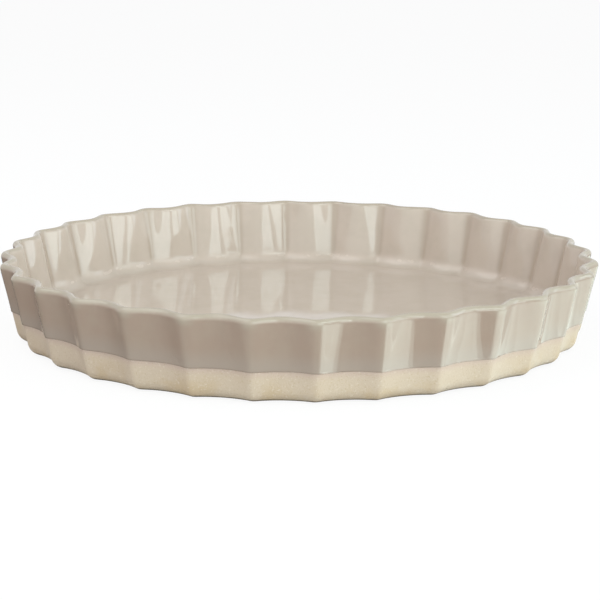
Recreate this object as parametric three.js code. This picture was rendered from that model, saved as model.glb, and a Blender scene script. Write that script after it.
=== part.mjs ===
// A fluted round tart dish in glazed stoneware.
//
// The clay body is one pressed piece: a flat floor, a leaning wall drawn into flutes, a rounded rim and a low
// foot ring. The glaze is a coat of glass fused over the inside, the rim and the upper wall. It ends at a line
// above the table, and below that line the clay is bare. Millimetres, +Z up, origin under the middle of the foot.

import * as THREE from "three";
import { mergeVertices } from "three/addons/utils/BufferGeometryUtils.js";

// The dish as a whole
const RIM_RADIUS = 150; // to the outermost point of the ridges
const HEIGHT = 40; // from the table to the crest of the rim
const WALL_THICKNESS = 4.8; // with the glaze on both faces
const WALL_LEAN = THREE.MathUtils.degToRad(12); // of the ridges, outward from upright

// The flutes: rounded ridges, standing out, between broad valleys
const FLUTE_COUNT = 32;
const FLUTE_DEPTH_AT_RIM = 4.7; // from the ridges in to the valleys
const FLUTE_DEPTH_AT_TABLE = 2.3; // the wall line of ridge and valley drawn down to the table
const RIDGE_WIDTH_AT_RIM = 13; // across a ridge at half its depth
const RIDGE_WIDTH_AT_TABLE = 9; // across a ridge at half its depth, as measured at the rim

// The inside
const FLOOR_HEIGHT = 6; // from the table to the glazed floor
const COVE_RADIUS = 7; // of the round between the floor and the wall

// The underside
const BASE_EDGE_RADIUS = 7; // of the round between the wall and the foot
const FOOT_RING_WIDTH = 22; // of the flat ring that the dish stands on, at a valley
const FOOT_RECESS_DEPTH = 1.2; // of the underside within the foot ring
const FOOT_RECESS_SLOPE = 4; // across the slope from the foot ring up into the recess

// The glaze
const GLAZE_THICKNESS = 0.5;
const GLAZE_BOND_GAP = 0.1; // kept between the coat and the clay
const GLAZE_LINE_HEIGHT = 14.7; // from the table to the edge of the coat on the outside

// How finely the rounds are cut
const FLUTE_STEPS = 6; // from ridge to ridge
const RIM_STEPS = 3; // on each side of the crest
const COVE_STEPS = 4;
const BASE_EDGE_STEPS = 4;

const pitch = (2 * Math.PI * RIM_RADIUS) / FLUTE_COUNT;

// The angle round the dish of the meridian that is `step` steps on from the first ridge. The flutes are a
// trochoid, as waves in water are: the steps crowd towards the ridges, so that a ridge is as wide as set.
function meridianAngle(step, height) {
  const share = height / HEIGHT;
  const ridgeWidth = THREE.MathUtils.lerp(RIDGE_WIDTH_AT_TABLE, RIDGE_WIDTH_AT_RIM, share);
  const narrowing = Math.PI * (0.5 - ridgeWidth / pitch);
  const phase = (2 * Math.PI * step) / FLUTE_STEPS;
  return (phase - narrowing * Math.sin(phase)) / FLUTE_COUNT;
}

// How far that meridian is drawn in, from 0 on a ridge to 1 in a valley.
function drawnIn(step) {
  return (1 - Math.cos((2 * Math.PI * step) / FLUTE_STEPS)) / 2;
}

function arc(centre, radius, from, to, steps) {
  return new THREE.EllipseCurve(centre.x, centre.y, radius, radius, from, to, to < from).getPoints(steps);
}

// The wall of one meridian, where `share` is 0 on a ridge and 1 in a valley. Points are (radius, height). The
// rim is a half round about `crown`, and the wall faces leave it at right angles to its ends.
function wallOf(share) {
  const halfWall = WALL_THICKNESS / 2;
  const deepening = (FLUTE_DEPTH_AT_RIM - FLUTE_DEPTH_AT_TABLE) / HEIGHT;
  const lean = Math.atan(Math.tan(WALL_LEAN) - share * deepening);
  const rimRadius = RIM_RADIUS - share * FLUTE_DEPTH_AT_RIM;
  const crown = new THREE.Vector2(rimRadius - halfWall, HEIGHT - halfWall);
  // The radius at a height, `out` from the wall's middle towards the outside.
  const radiusAt = (height, out) => {
    return crown.x + (out + Math.sin(lean) * (height - crown.y)) / Math.cos(lean);
  };
  return { lean, halfWall, crown, radiusAt };
}

// The rim, the inside of the wall, the cove and the floor of a meridian, `inset` behind the glazed face.
function insideFace(wall, inset) {
  const { lean, halfWall, crown, radiusAt } = wall;
  const coveHeight = FLOOR_HEIGHT + COVE_RADIUS;
  const cove = new THREE.Vector2(radiusAt(coveHeight, -halfWall - COVE_RADIUS), coveHeight);
  return [
    ...arc(crown, halfWall - inset, 0, Math.PI / 2, RIM_STEPS),
    ...arc(crown, halfWall - inset, Math.PI / 2, Math.PI - lean, RIM_STEPS).slice(1),
    ...arc(cove, COVE_RADIUS + inset, -lean, -Math.PI / 2, COVE_STEPS),
    new THREE.Vector2(0, FLOOR_HEIGHT - inset),
  ];
}

// The point of the outer wall at the glaze line, `inset` behind the glazed face.
function glazeLinePoint(wall, inset) {
  return new THREE.Vector2(wall.radiusAt(GLAZE_LINE_HEIGHT, wall.halfWall - inset), GLAZE_LINE_HEIGHT);
}

// A meridian of the clay, from the middle of the underside round to the middle of the floor.
function clayMeridian(share) {
  const inset = GLAZE_THICKNESS + GLAZE_BOND_GAP;
  const wall = wallOf(share);
  const edgeRadius = (of) => of.radiusAt(BASE_EDGE_RADIUS, of.halfWall - inset - BASE_EDGE_RADIUS);
  const edge = new THREE.Vector2(edgeRadius(wall), BASE_EDGE_RADIUS);
  const footInner = edgeRadius(wallOf(1)) - FOOT_RING_WIDTH;
  return [
    new THREE.Vector2(0, FOOT_RECESS_DEPTH),
    new THREE.Vector2(footInner - FOOT_RECESS_SLOPE, FOOT_RECESS_DEPTH),
    new THREE.Vector2(footInner, 0),
    ...arc(edge, BASE_EDGE_RADIUS, -Math.PI / 2, -wall.lean, BASE_EDGE_STEPS),
    glazeLinePoint(wall, inset),
    ...insideFace(wall, inset),
  ];
}

// The side of a glaze meridian that is `inset` behind the glazed face.
function glazeFace(share, inset) {
  const wall = wallOf(share);
  return [glazeLinePoint(wall, inset), ...insideFace(wall, inset)];
}

// A meridian of the glaze, from the floor out along the clay to the glaze line, and back along the glazed face.
function glazeMeridian(share) {
  return [...glazeFace(share, GLAZE_THICKNESS).reverse(), ...glazeFace(share, 0)];
}

// The solid turned from a meridian, with each of its copies drawn in and turned as the flutes are. The quads of
// the flanks are twisted, so the first `bondSteps` bands, which lie against another piece and run the other
// way, are split on their other diagonal, and the two faces stay level with each other.
function flutedGeometry(meridianAt, bondSteps) {
  const ridge = meridianAt(0);
  const valley = meridianAt(1);
  const segments = FLUTE_COUNT * FLUTE_STEPS;
  const geometry = new THREE.LatheGeometry(ridge, segments);
  const position = geometry.getAttribute("position");
  const index = [];
  for (let segment = 0; segment <= segments; segment++) {
    const onward = segment % segments;
    ridge.forEach((onRidge, step) => {
      const point = onRidge.clone().lerp(valley[step], drawnIn(onward));
      const angle = meridianAngle(onward, point.y);
      const a = segment * ridge.length + step;
      position.setXYZ(a, point.x * Math.sin(angle), point.y, point.x * Math.cos(angle));
      if (segment === segments || step === ridge.length - 1) return;
      const b = a + ridge.length;
      const c = b + 1;
      const d = a + 1;
      index.push(...(step < bondSteps ? [a, b, c, a, c, d] : [a, b, d, b, c, d]));
    });
  }
  geometry.setIndex(index);
  geometry.deleteAttribute("normal");
  geometry.deleteAttribute("uv");
  geometry.rotateX(Math.PI / 2);
  return mergeVertices(geometry);
}

function addPiece(dish, name, geometry, finish) {
  const mesh = new THREE.Mesh(geometry, new THREE.MeshStandardMaterial(finish));
  mesh.name = name;
  dish.add(mesh);
}

const clay = flutedGeometry(clayMeridian, 0);
const glaze = flutedGeometry(glazeMeridian, glazeFace(0, 0).length - 1);

const dish = new THREE.Group();
addPiece(dish, "stoneware_body", clay, { color: 0xd8c6a4, roughness: 0.9, metalness: 0 });
addPiece(dish, "glaze_coat", glaze, { color: 0xc9bfb0, roughness: 0.12, metalness: 0 });

export default dish;
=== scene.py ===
import math

import bpy
import mathutils
import numpy as np
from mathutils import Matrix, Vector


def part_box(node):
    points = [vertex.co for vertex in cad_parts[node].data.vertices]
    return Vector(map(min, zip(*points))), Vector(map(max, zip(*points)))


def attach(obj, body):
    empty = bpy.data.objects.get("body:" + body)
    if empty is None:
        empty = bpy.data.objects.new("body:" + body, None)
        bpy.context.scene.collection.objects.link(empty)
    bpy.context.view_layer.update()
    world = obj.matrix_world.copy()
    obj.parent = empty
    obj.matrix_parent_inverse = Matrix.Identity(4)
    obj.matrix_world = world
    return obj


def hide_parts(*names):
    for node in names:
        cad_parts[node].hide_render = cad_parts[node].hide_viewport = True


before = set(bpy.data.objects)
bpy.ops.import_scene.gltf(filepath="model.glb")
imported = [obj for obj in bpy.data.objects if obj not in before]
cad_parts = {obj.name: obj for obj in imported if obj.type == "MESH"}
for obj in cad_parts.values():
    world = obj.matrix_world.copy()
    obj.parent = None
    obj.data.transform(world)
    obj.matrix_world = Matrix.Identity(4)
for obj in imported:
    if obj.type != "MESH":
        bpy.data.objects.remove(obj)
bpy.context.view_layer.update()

# The clay body: buff stoneware, pressed in one piece between two moulds that give it a flat floor, a leaning
# fluted wall, a rounded lower edge and a low foot ring, then fired. The lower wall and the underside stay
# bare: a dry, sandy skin, toasted pink where it meets the glaze, with painted shade darkening it towards the
# table and a painted contact shadow along the edge it stands on.

MM = 0.001
OUTSIDE = 0
INSIDE = 1
FLUTE_COUNT = 32
FLUTE_DEPTH_AT_RIM = 4.7 * MM
FLUTE_DEPTH_AT_TABLE = 2.3 * MM
RIDGE_WIDTH_AT_RIM = 13 * MM
RIDGE_WIDTH_AT_TABLE = 9 * MM
WALL_THICKNESS = 4.8 * MM
WALL_LEAN = math.radians(12)
FLOOR_HEIGHT = 6 * MM
COVE_RADIUS = 7 * MM
BASE_EDGE_RADIUS = 7 * MM
FOOT_RING_WIDTH = 22 * MM
FOOT_RECESS_DEPTH = 1.2 * MM
FOOT_RECESS_SLOPE = 4 * MM
CLAY_BEHIND_GLAZE = 0.6 * MM
GLAZE_LINE_HEIGHT = 14.7 * MM
GLAZE_LINE_TILT = 0.8 * MM
# The height of the painted contact shadow along the edge the dish stands on.
CONTACT_SHADOW_HEIGHT = 1.8 * MM

# How finely the skins are cut: steps are those of a round, points are those within a straight line. What is
# coated lies between the clay and the glaze.
COLUMNS_PER_FLUTE = 24
UNDERSIDE_POINTS = 8
RECESS_SLOPE_POINTS = 3
FOOT_RING_POINTS = 4
BASE_EDGE_STEPS = 12
OUTER_WALL_POINTS = 20
COATED_RIM_STEPS = 6
COATED_WALL_POINTS = 2
COATED_COVE_STEPS = 5
COATED_FLOOR_POINTS = 3

rim_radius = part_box("glaze_coat")[1].x
rim_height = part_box("glaze_coat")[1].z
half_wall = WALL_THICKNESS / 2
pitch = 2 * math.pi * rim_radius / FLUTE_COUNT

column_count = FLUTE_COUNT * COLUMNS_PER_FLUTE
flute_phase = 2 * math.pi * np.arange(column_count)[:, None] / COLUMNS_PER_FLUTE
column = np.ones_like(flute_phase)
drawn_in = (1 - np.cos(flute_phase)) / 2
crown_height = rim_height - half_wall
crown_radius = rim_radius - half_wall - drawn_in * FLUTE_DEPTH_AT_RIM
flute_deepening = (FLUTE_DEPTH_AT_RIM - FLUTE_DEPTH_AT_TABLE) / rim_height
wall_lean = np.arctan(math.tan(WALL_LEAN) - drawn_in * flute_deepening)
line_height = GLAZE_LINE_HEIGHT - GLAZE_LINE_TILT * np.sin(flute_phase / FLUTE_COUNT)


def wall_radius(height, out):
    """The wall leans in a straight line: the radius at a height, `out` from the middle of the wall along its
    normal, is the crown's radius plus (out + sin(lean) times the height above the crown) over cos(lean)."""
    return crown_radius + (out + np.sin(wall_lean) * (height - crown_height)) / np.cos(wall_lean)


def point(radius, height, side):
    """One point of every column's meridian: its radius, its height and its side, OUTSIDE or INSIDE."""
    return np.stack([radius * column, height * column, side * column])


def arc(radius, height, bend, start, end, steps, sides):
    """A round about a point of every column, from one angle above the level to another: out from that point
    by `bend` times the cosine, and up by `bend` times the sine. Its side goes evenly from the first to the
    last."""
    share = np.linspace(0, 1, steps + 1)
    angle = start + (end - start) * share
    side = sides[0] + (sides[1] - sides[0]) * share
    return np.stack([radius + bend * np.cos(angle), height + bend * np.sin(angle), side + 0 * angle])


def meridian(*parts):
    """Joins rounds and points end to end. A number between two of them is how many points the straight line
    from one to the other is given."""
    stretches = list(parts)
    for place, part in enumerate(parts):
        if isinstance(part, int):
            start = parts[place - 1][..., -1:]
            end = parts[place + 1][..., :1]
            stretches[place] = start + (end - start) * np.linspace(0, 1, part + 2)[1:-1]
    return np.concatenate(stretches, -1)


def rim_round(inset, steps):
    """The half round of the rim about the crown, from the outer face of the wall over to the inner one,
    `inset` behind the glazed face."""
    bend = half_wall - inset
    return arc(crown_radius, crown_height, bend, -wall_lean, math.pi - wall_lean, steps, (OUTSIDE, INSIDE))


def cove_round(inset, steps):
    """The round between the inside of the wall and the floor, `inset` behind the glazed face."""
    height = FLOOR_HEIGHT + COVE_RADIUS
    radius = wall_radius(height, -half_wall - COVE_RADIUS)
    bend = COVE_RADIUS + inset
    return arc(radius, height, bend, -wall_lean, -math.pi / 2 * column, steps, (INSIDE, INSIDE))


def fluted(line):
    """The surface of a meridian carried round in flutes. Each flute is a trochoid, as a wave in water is: the
    column of phase p is turned by p - n * sin(p), where n narrows the ridges to their width at each height,
    and stands at its own meridian's radius, which goes in from ridge to valley as (1 - cos(p)) / 2."""
    radius, height, _ = line
    ridge_width = RIDGE_WIDTH_AT_TABLE + (RIDGE_WIDTH_AT_RIM - RIDGE_WIDTH_AT_TABLE) * height / rim_height
    narrowing = math.pi * (0.5 - ridge_width / pitch)
    angle = (flute_phase - narrowing * np.sin(flute_phase)) / FLUTE_COUNT
    return np.stack([radius * np.sin(angle), -radius * np.cos(angle), height], -1)


def skin(name, points, **fields):
    """A closed skin over columns by steps. The columns join round, the first and the last step of all of them
    are one point on the axis, and each field is kept with the skin as an attribute."""
    steps = points.shape[1] - 2
    here = np.arange(column_count * steps).reshape(column_count, steps)
    there = np.roll(here, -1, 0)
    quads = np.stack([here[:, :-1], there[:, :-1], there[:, 1:], here[:, 1:]], -1).reshape(-1, 4)
    first = np.full(column_count, here.size)
    last = np.full(column_count, here.size + 1)
    first_fan = np.stack([first, there[:, 0], here[:, 0]], -1)
    last_fan = np.stack([last, here[:, -1], there[:, -1]], -1)
    ends = points[:1, [0, -1]].reshape(2, 3)
    vertices = np.concatenate([points[:, 1:-1].reshape(-1, 3), ends])
    mesh = bpy.data.meshes.new(name)
    mesh.from_pydata(vertices.tolist(), [], quads.tolist() + first_fan.tolist() + last_fan.tolist())
    mesh.shade_smooth()
    for field, values in fields.items():
        flat = np.append(values[:, 1:-1].ravel(), values[0, [0, -1]]).astype(np.float32)
        mesh.attributes.new(field, "FLOAT", "POINT").data.foreach_set("value", flat)
    piece = bpy.data.objects.new(name, mesh)
    bpy.context.scene.collection.objects.link(piece)
    return piece


edge_radius = wall_radius(BASE_EDGE_RADIUS, half_wall - CLAY_BEHIND_GLAZE - BASE_EDGE_RADIUS)
foot_inner = edge_radius.min() - FOOT_RING_WIDTH
base_edge = arc(edge_radius, BASE_EDGE_RADIUS, BASE_EDGE_RADIUS, -math.pi / 2, -wall_lean,
                BASE_EDGE_STEPS, (OUTSIDE, OUTSIDE))
clay_line = meridian(
    point(0, FOOT_RECESS_DEPTH, OUTSIDE),
    UNDERSIDE_POINTS,
    point(foot_inner - FOOT_RECESS_SLOPE, FOOT_RECESS_DEPTH, OUTSIDE),
    RECESS_SLOPE_POINTS,
    point(foot_inner, 0, OUTSIDE),
    FOOT_RING_POINTS,
    base_edge,
    OUTER_WALL_POINTS,
    rim_round(CLAY_BEHIND_GLAZE, COATED_RIM_STEPS),
    COATED_WALL_POINTS,
    cove_round(CLAY_BEHIND_GLAZE, COATED_COVE_STEPS),
    COATED_FLOOR_POINTS,
    point(0, FLOOR_HEIGHT - CLAY_BEHIND_GLAZE, INSIDE))
# past_foot and near_table mark the outer round just above the table, for the painted contact shadow.
past_foot = clay_line[0] > edge_radius
clay = skin("stoneware", fluted(clay_line),
            below_line=(line_height - clay_line[1]) / MM,
            near_table=np.where(past_foot, np.clip(1 - clay_line[1] / CONTACT_SHADOW_HEIGHT, 0, 1), 0))


def put(tree, kind, inputs=(), **settings):
    """Adds a shader node with its settings, and fills its inputs with values or with other nodes' outputs."""
    made = tree.nodes.new(kind)
    for name, value in settings.items():
        setattr(made, name, value)
    for name, value in dict(inputs).items():
        if isinstance(value, bpy.types.NodeSocket):
            tree.links.new(value, made.inputs[name])
        else:
            made.inputs[name].default_value = value
    return made


def reckon(tree, operation, *values):
    """One sum on numbers or outputs, such as MULTIPLY, or MULTIPLY_ADD for the first by the second plus the
    third."""
    return put(tree, "ShaderNodeMath", enumerate(values), operation=operation).outputs[0]


def mix(tree, factor, start, end):
    """The colour between two colours, by a factor from 0 to 1."""
    return put(tree, "ShaderNodeMix", {0: factor, 6: start, 7: end}, data_type="RGBA").outputs[2]


def ramp(tree, value, start, end, low=0.0, high=1.0):
    """A smooth step of a value, from `low` at the start to `high` at the end."""
    limits = {"Value": value, "From Min": start, "From Max": end, "To Min": low, "To Max": high}
    return put(tree, "ShaderNodeMapRange", limits, interpolation_type="SMOOTHSTEP").outputs[0]


def kept(tree, field):
    """The value of a field that the skin keeps."""
    return put(tree, "ShaderNodeAttribute", attribute_name=field).outputs["Fac"]


def srgb(red, green, blue):
    """The linear colour of a colour as it is read off a screen, from 0 to 255, by the standard curve."""
    share = np.array([red, green, blue]) / 255
    return (*np.where(share < 0.04045, share / 12.92, ((share + 0.055) / 1.055) ** 2.4), 1.0)


def new_material(name):
    """An empty material, its tree and its Principled shader."""
    material = bpy.data.materials.new(name)
    material.use_nodes = True
    return material, material.node_tree, material.node_tree.nodes["Principled BSDF"]


CLOUD_ROUGHNESS = 0.6

cloud = bpy.data.node_groups.new("fired_cloud", "ShaderNodeTree")
cloud.interface.new_socket("Size", in_out="INPUT", socket_type="NodeSocketFloat")
cloud.interface.new_socket("Detail", in_out="INPUT", socket_type="NodeSocketFloat")
cloud.interface.new_socket("Amount", in_out="OUTPUT", socket_type="NodeSocketFloat")
cloud_in = cloud.nodes.new("NodeGroupInput")
cloud_out = cloud.nodes.new("NodeGroupOutput")
where = put(cloud, "ShaderNodeTexCoord")
scale = reckon(cloud, "DIVIDE", 1.0, cloud_in.outputs["Size"])
noise = put(cloud, "ShaderNodeTexNoise", {"Vector": where.outputs["Object"], "Scale": scale,
                                          "Detail": cloud_in.outputs["Detail"],
                                          "Roughness": CLOUD_ROUGHNESS})
cloud.links.new(noise.outputs[0], cloud_out.inputs["Amount"])


def clouding(tree, size, detail):
    """The amount of clouding, from 0 to 1 about a middle of 0.5, in patches of a size."""
    made = put(tree, "ShaderNodeGroup", node_tree=cloud)
    made.inputs["Size"].default_value = size
    made.inputs["Detail"].default_value = detail
    return made.outputs["Amount"]


SANDY = srgb(191, 174, 154)
OCHRE = srgb(183, 160, 128)
TOASTED = srgb(186, 164, 151)
GRIT = srgb(174, 152, 126)
GLINT = srgb(205, 193, 177)
# Painted shade: the clay darkens towards the table and over the foot.
FOOT_SHADE = srgb(146, 126, 101)
# Painted contact shadow along the edge the dish stands on.
FOOT_CONTACT_SHADOW = srgb(70, 58, 46)
CLAY_ROUGHNESS = 0.5

# The field below_line is in millimetres.
clay_material, tree, shader = new_material("bare_stoneware")
below = kept(tree, "below_line")
patches = ramp(tree, clouding(tree, size=16 * MM, detail=5), start=0.42, end=0.66, high=0.7)
lower = ramp(tree, below, start=3.0, end=11.0, low=0.25)
ochre = reckon(tree, "MULTIPLY", patches, lower)
toast = ramp(tree, below, start=0.0, end=4.0, low=0.85, high=0.0)
glints = ramp(tree, clouding(tree, size=1.1 * MM, detail=2), start=0.58, end=0.7, high=0.5)
grains = ramp(tree, clouding(tree, size=0.8 * MM, detail=3), start=0.54, end=0.7, high=0.55)
# Painted shade, darker towards the table and over the foot and underside.
foot = ramp(tree, below, start=13.0, end=14.8, high=0.6)
# Painted contact shadow: the outer round darkens as it nears the table.
contact_shadow = ramp(tree, kept(tree, "near_table"), start=0.0, end=0.6, high=0.75)
colour = mix(tree, ochre, SANDY, OCHRE)
colour = mix(tree, toast, colour, TOASTED)
colour = mix(tree, glints, colour, GLINT)
colour = mix(tree, grains, colour, GRIT)
colour = mix(tree, foot, colour, FOOT_SHADE)
colour = mix(tree, contact_shadow, colour, FOOT_CONTACT_SHADOW)
tree.links.new(colour, shader.inputs["Base Color"])
sand = clouding(tree, size=0.7 * MM, detail=4)
bump = put(tree, "ShaderNodeBump", {"Height": sand, "Strength": 0.5, "Distance": 0.25 * MM})
tree.links.new(bump.outputs[0], shader.inputs["Normal"])
shader.inputs["Roughness"].default_value = CLAY_ROUGHNESS
clay.data.materials.append(clay_material)
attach(clay, "root")
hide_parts("stoneware_body")

# The glaze: a greige glass, poured inside and dipped outside down to a line above the table, then fused to
# the clay. It is paler inside, partly as a thicker pour and partly as painted light, the inside painted lit
# and the outside painted in shade. It is darker in the inner grooves, with pooled glaze and painted shade
# there; it runs thin and pale over the rim and the ridges, and ends below in a small rounded bead.

GLAZE_THICKNESS = 0.5 * MM
CORNER_DEPTH = 7 * MM
BEAD_STEPS = 6
GLAZED_WALL_POINTS = 22
GLAZED_RIM_STEPS = 16
GLAZED_COVE_STEPS = 12
GLAZED_FLOOR_POINTS = 20

# The unevenness of the glazed face, which fades from the wall to the floor.
WAVE_COUNT = 16
WAVE_LENGTHS = 10 * MM, 26 * MM
WAVE_SLOPE = 0.018
WAVE_SEED = 7
WAVE_FADE_FROM = 0.75  # of the rim's radius
WAVE_FADE_ACROSS = 0.1  # of the rim's radius
WAVE_SHARE_ON_FLOOR = 0.15
NO_LENGTH = 1e-12

half_bead = GLAZE_THICKNESS / 2
bead_height = line_height + half_bead
bead_radius = wall_radius(bead_height, half_wall - half_bead)
bead = arc(bead_radius, bead_height, half_bead, -math.pi - wall_lean, -wall_lean,
           BEAD_STEPS, (OUTSIDE, OUTSIDE))
glaze_back = meridian(
    point(0, FLOOR_HEIGHT - GLAZE_THICKNESS, INSIDE),
    COATED_FLOOR_POINTS,
    cove_round(GLAZE_THICKNESS, COATED_COVE_STEPS)[..., ::-1],
    COATED_WALL_POINTS,
    rim_round(GLAZE_THICKNESS, COATED_RIM_STEPS)[..., ::-1])
glaze_face = meridian(
    bead,
    GLAZED_WALL_POINTS,
    rim_round(0, GLAZED_RIM_STEPS),
    GLAZED_WALL_POINTS,
    cove_round(0, GLAZED_COVE_STEPS),
    GLAZED_FLOOR_POINTS,
    point(0, FLOOR_HEIGHT, INSIDE))


def waves(points, seed):
    """Soft unevenness: a sum of sine waves through space, sin(k . p + phase), with random directions and
    lengths and with heights in proportion to their lengths, so that all of them tilt the surface alike."""
    chance = np.random.default_rng(seed)
    heading = chance.normal(size=(WAVE_COUNT, 3))
    heading /= np.linalg.norm(heading, axis=1, keepdims=True)
    length = chance.uniform(*WAVE_LENGTHS, WAVE_COUNT)
    phase = chance.uniform(0, 2 * math.pi, WAVE_COUNT)
    along = points @ (heading * 2 * math.pi / length[:, None]).T + phase
    return (np.sin(along) * length).sum(-1) * WAVE_SLOPE / (2 * math.pi * math.sqrt(WAVE_COUNT / 2))


def uneven(points, seed):
    """Sinks a surface along its normals by waves that never stand out past it. A normal is the cross product
    of the ways round and along the surface, and straight up where these have no length, on the axis."""
    along = np.gradient(points, axis=1)
    around = np.roll(points, -1, 0) - np.roll(points, 1, 0)
    normal = np.cross(around, along)
    length = np.linalg.norm(normal, axis=-1, keepdims=True)
    normal = np.where(length > NO_LENGTH, normal / np.maximum(length, NO_LENGTH), (0, 0, 1))
    radius = np.linalg.norm(points[..., :2], axis=-1)
    share = np.clip((radius / rim_radius - WAVE_FADE_FROM) / WAVE_FADE_ACROSS, WAVE_SHARE_ON_FLOOR, 1)
    height = waves(points, seed)
    return points + normal * (share * (height - height.max()))[..., None]


def hump(share):
    """One where a share is a half, and nought where it is 0 or 1: four times the share times the rest."""
    return 4 * share * (1 - share)


# Where the glaze runs thin, and where it runs deep in the inner grooves, which also carry painted shade. A
# power over 1 narrows a field to the middle of its form.
RIM_POWER = 1.2
RIDGE_POWER = 6
CORNER_POWER = 2
GROOVE_POWER = 5
RIDGE_THINNING = 0.22

face_points = uneven(fluted(glaze_face), WAVE_SEED)
glaze_points = np.concatenate([fluted(glaze_back), face_points], 1)
_, glaze_height, inside = np.concatenate([glaze_back, glaze_face], -1)
below_rim = np.clip((rim_height - glaze_height) / CORNER_DEPTH, 0, 1)
above_floor = np.clip((glaze_height - FLOOR_HEIGHT) / COVE_RADIUS, 0, 1)
on_rim = hump(inside) ** RIM_POWER
on_ridge = (1 - inside) * (1 - drawn_in) ** RIDGE_POWER
on_corner = (1 - inside) * (1 - drawn_in) ** CORNER_POWER * (1 - below_rim)
glaze = skin("glaze", glaze_points,
             above_line=(glaze_height - line_height) / MM,
             thin=np.maximum(on_rim, np.maximum(on_corner, RIDGE_THINNING * on_ridge)),
             within=inside,
             deep=inside * above_floor * (1 - drawn_in) ** GROOVE_POWER,
             upright=1 - inside * (1 - above_floor),
             cove=inside * hump(above_floor))

# GREIGE, the outside, is partly painted shade; the inside colour is partly pooled glaze and partly painted
# light.
GREIGE = srgb(151, 132, 118)
POOLED_AND_LIT = srgb(194, 180, 168)
FLOOR_POOL = srgb(182, 170, 158)
# Darker glaze for the inner grooves: pooled glaze and painted shade.
GROOVE_POOL_AND_SHADE = srgb(166, 149, 133)
PALE = srgb(161, 151, 135)
LAVENDER = srgb(154, 141, 130)
EDGE = srgb(132, 114, 101)
GLAZE_IOR = 1.55
COVE_ROUGHNESS = 0.2
INSIDE_LIFT = 50.0  # lifts the inside clear of what follows the glaze line

# The field above_line is in millimetres.
glaze_material, tree, shader = new_material("greige_glaze")
within = kept(tree, "within")
upright = kept(tree, "upright")
height = reckon(tree, "MULTIPLY_ADD", within, INSIDE_LIFT, kept(tree, "above_line"))
flat = ramp(tree, upright, start=0.0, end=0.6, low=1.0, high=0.0)
milky = ramp(tree, clouding(tree, size=16 * MM, detail=3), start=0.4, end=0.68, high=0.16)
# Darker in the inner grooves: pooled glaze, with painted shade where the flanks turn.
deep = ramp(tree, kept(tree, "deep"), start=0.1, end=1.0, high=0.6)
low = ramp(tree, height, start=1.0, end=11.0, low=0.75, high=0.0)
thin = ramp(tree, kept(tree, "thin"), start=0.05, end=0.9)
edge = ramp(tree, height, start=0.15, end=0.9, low=0.5, high=0.0)
# Paler inside than out: partly a thicker pour, partly painted light inside and painted shade outside.
colour = mix(tree, within, GREIGE, POOLED_AND_LIT)
colour = mix(tree, flat, colour, FLOOR_POOL)
colour = mix(tree, milky, colour, PALE)
colour = mix(tree, deep, colour, GROOVE_POOL_AND_SHADE)
colour = mix(tree, low, colour, LAVENDER)
colour = mix(tree, thin, colour, PALE)
colour = mix(tree, edge, colour, EDGE)
tree.links.new(colour, shader.inputs["Base Color"])
gloss = ramp(tree, clouding(tree, size=7 * MM, detail=2), start=0.35, end=0.7, low=0.04, high=0.09)
softened = reckon(tree, "MULTIPLY_ADD", kept(tree, "cove"), COVE_ROUGHNESS, gloss)
tree.links.new(softened, shader.inputs["Roughness"])
dimples = reckon(tree, "MULTIPLY", clouding(tree, size=5 * MM, detail=1), upright)
peel = put(tree, "ShaderNodeBump", {"Height": dimples, "Strength": 0.25, "Distance": 0.04 * MM})
tree.links.new(peel.outputs[0], shader.inputs["Normal"])
shader.inputs["IOR"].default_value = GLAZE_IOR
glaze.data.materials.append(glaze_material)
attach(glaze, "root")
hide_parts("glaze_coat")

# The floor: a wide, plain, pale table top, a hair below the foot. It shows almost white and keeps the dish's
# shadow. Gloss looks past it, to what lies below its level.

FLOOR_HALF = 8.0
FLOOR_GAP = 0.05 * MM
FLOOR_PAINT = 0.86, 0.87, 0.89, 1.0
FLOOR_WHITENESS = 0.9
WHITE = 1.0, 1.0, 1.0, 1.0


def backdrop_rays(tree):
    """One for the rays that look at the backdrop, from the camera, off gloss or through glass, and else
    nought."""
    rays = put(tree, "ShaderNodeLightPath").outputs
    seen_or_mirrored = reckon(tree, "MAXIMUM", rays["Is Camera Ray"], rays["Is Glossy Ray"])
    return reckon(tree, "MAXIMUM", seen_or_mirrored, rays["Is Transmission Ray"])


floor_mesh = bpy.data.meshes.new("floor")
floor_corners = np.array([(-1, -1), (1, -1), (1, 1), (-1, 1)]) * FLOOR_HALF
floor_mesh.from_pydata(np.insert(floor_corners, 2, -FLOOR_GAP, 1).tolist(), [], [(0, 1, 2, 3)])
floor = bpy.data.objects.new("floor", floor_mesh)
bpy.context.scene.collection.objects.link(floor)
floor_material = bpy.data.materials.new("pale_floor")
floor_material.use_nodes = True
tree = floor_material.node_tree
tree.nodes.clear()
whiteness = reckon(tree, "MULTIPLY", backdrop_rays(tree), FLOOR_WHITENESS)
paint = put(tree, "ShaderNodeBsdfDiffuse", {"Color": FLOOR_PAINT}).outputs[0]
white = put(tree, "ShaderNodeEmission", {"Color": WHITE, "Strength": 1.0}).outputs[0]
mixed = put(tree, "ShaderNodeMixShader", {0: whiteness, 1: paint, 2: white}).outputs[0]
put(tree, "ShaderNodeOutputMaterial", {"Surface": mixed})
floor_mesh.materials.append(floor_material)
floor.visible_glossy = False

# The light: soft boxes round the dish, most of them at its right, in a pale surround. The low panels, at the
# right too, are below the level of the table: the floor keeps their light off the dish, so that they show in
# its gloss alone. The rest of the surround is dim down there.

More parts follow.
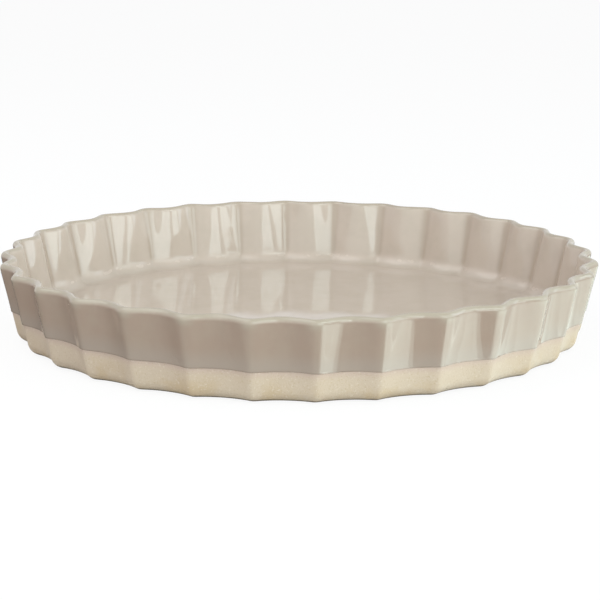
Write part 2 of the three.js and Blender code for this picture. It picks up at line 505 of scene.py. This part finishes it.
LAMP_DISTANCE = 1.2
DAYLIGHT = 1.0, 1.0, 1.0
COOL = 0.85, 1.0, 0.99
FAINT_GREEN = 0.85, 1.0, 0.96
BLUISH = 0.84, 1.0, 1.08
MINT = 0.9, 1.05, 1.0
SAGE = 0.88, 1.0, 0.9
LOW_PANEL_ELEVATION = -28
LOW_PANEL_HEIGHT = 0.7
LOW_PANELS = (36, 43, 1.8), (44, 54, 3.7), (56, 78, 3.6), (80, 105, 2.8), (107, 140, 2.0)


def lamp(name, azimuth, elevation, width, height, brightness, colour):
    """A soft box aimed at the dish, from an azimuth to the right of the front and an elevation, in degrees.
    Its watts are pi times its area times its brightness, where 1 is white."""
    turn = math.radians(azimuth)
    rise = math.radians(elevation)
    out = LAMP_DISTANCE * math.cos(rise)
    data = bpy.data.lights.new(name, "AREA")
    data.shape = "RECTANGLE"
    data.size = width
    data.size_y = height
    data.color = colour
    data.energy = math.pi * width * height * brightness
    box = bpy.data.objects.new(name, data)
    box.location = (out * math.sin(turn), -out * math.cos(turn), LAMP_DISTANCE * math.sin(rise))
    box.rotation_euler = (math.pi / 2 - rise, 0, turn)
    bpy.context.scene.collection.objects.link(box)


lamp("soft_box_right", azimuth=26, elevation=9, width=0.66, height=0.4, brightness=3.1, colour=COOL)
lamp("soft_box_far_right", azimuth=68, elevation=9, width=0.6, height=0.4, brightness=3.0, colour=COOL)
lamp("soft_box_right_high", azimuth=38, elevation=35, width=1.12, height=0.22, brightness=5.8,
     colour=FAINT_GREEN)
lamp("soft_box_side", azimuth=96, elevation=20, width=0.4, height=0.85, brightness=2.1, colour=BLUISH)
lamp("soft_box_front", azimuth=-20, elevation=14, width=1.6, height=0.5, brightness=0.68, colour=MINT)
lamp("soft_box_above", azimuth=-75, elevation=60, width=1.2, height=0.95, brightness=1.8, colour=DAYLIGHT)
for first, last, brightness in LOW_PANELS:
    width = 2 * LAMP_DISTANCE * math.tan(math.radians(last - first) / 2)
    lamp(f"low_panel_{first}", (first + last) / 2, LOW_PANEL_ELEVATION, width, LOW_PANEL_HEIGHT,
         brightness, SAGE)

world = bpy.data.worlds.new("studio")
bpy.context.scene.world = world
world.use_nodes = True
tree = world.node_tree
surround = tree.nodes["Background"]
surround.inputs["Color"].default_value = WHITE
way = put(tree, "ShaderNodeTexCoord").outputs["Generated"]
heading = put(tree, "ShaderNodeSeparateXYZ", {0: way}).outputs
light = ramp(tree, heading["X"], start=-1.0, end=1.0, low=0.6, high=0.82)
dim = ramp(tree, heading["Y"], start=-0.4, end=0.3, low=0.32, high=0.06)
shine = ramp(tree, heading["Z"], start=-0.25, end=-0.1, low=dim, high=0.96)
strength = ramp(tree, backdrop_rays(tree), start=0.0, end=1.0, low=light, high=shine)
tree.links.new(strength, surround.inputs["Strength"])

# The camera: a long lens at the photograph's angle, a little to the left of a ridge and low over the rim, and
# turned a third of a degree about its own axis.

CAMERA_AZIMUTH = math.radians(3.134)
CAMERA_ELEVATION = math.radians(13.109)
CAMERA_ROLL = math.radians(0.348)
CAMERA_DISTANCE = 0.87895
CAMERA_AIM_RIGHT = 0.72 * MM
CAMERA_AIM_UP = 13.9 * MM
CAMERA_LENS = 103.35
CAMERA_SENSOR = 36
CAMERA_NEAREST = 0.01

ahead_flat = np.array([math.sin(CAMERA_AZIMUTH), math.cos(CAMERA_AZIMUTH), 0])
right = np.array([math.cos(CAMERA_AZIMUTH), -math.sin(CAMERA_AZIMUTH), 0])
ahead = ahead_flat * math.cos(CAMERA_ELEVATION) - np.array([0, 0, math.sin(CAMERA_ELEVATION)])
up = np.cross(right, ahead)
aim = right * CAMERA_AIM_RIGHT + np.array([0, 0, CAMERA_AIM_UP])
rolled_right = right * math.cos(CAMERA_ROLL) + up * math.sin(CAMERA_ROLL)
rolled_up = up * math.cos(CAMERA_ROLL) - right * math.sin(CAMERA_ROLL)
place = np.eye(4)
place[:3, :3] = np.stack([rolled_right, rolled_up, -ahead], 1)
place[:3, 3] = aim - ahead * CAMERA_DISTANCE
camera_data = bpy.data.cameras.new("camera")
camera_data.sensor_width = CAMERA_SENSOR
camera_data.lens = CAMERA_LENS
camera_data.clip_start = CAMERA_NEAREST
camera = bpy.data.objects.new("camera", camera_data)
bpy.context.scene.collection.objects.link(camera)
camera.matrix_world = mathutils.Matrix(place.tolist())
bpy.context.scene.camera = camera
bpy.context.scene.view_settings.view_transform = "Standard"
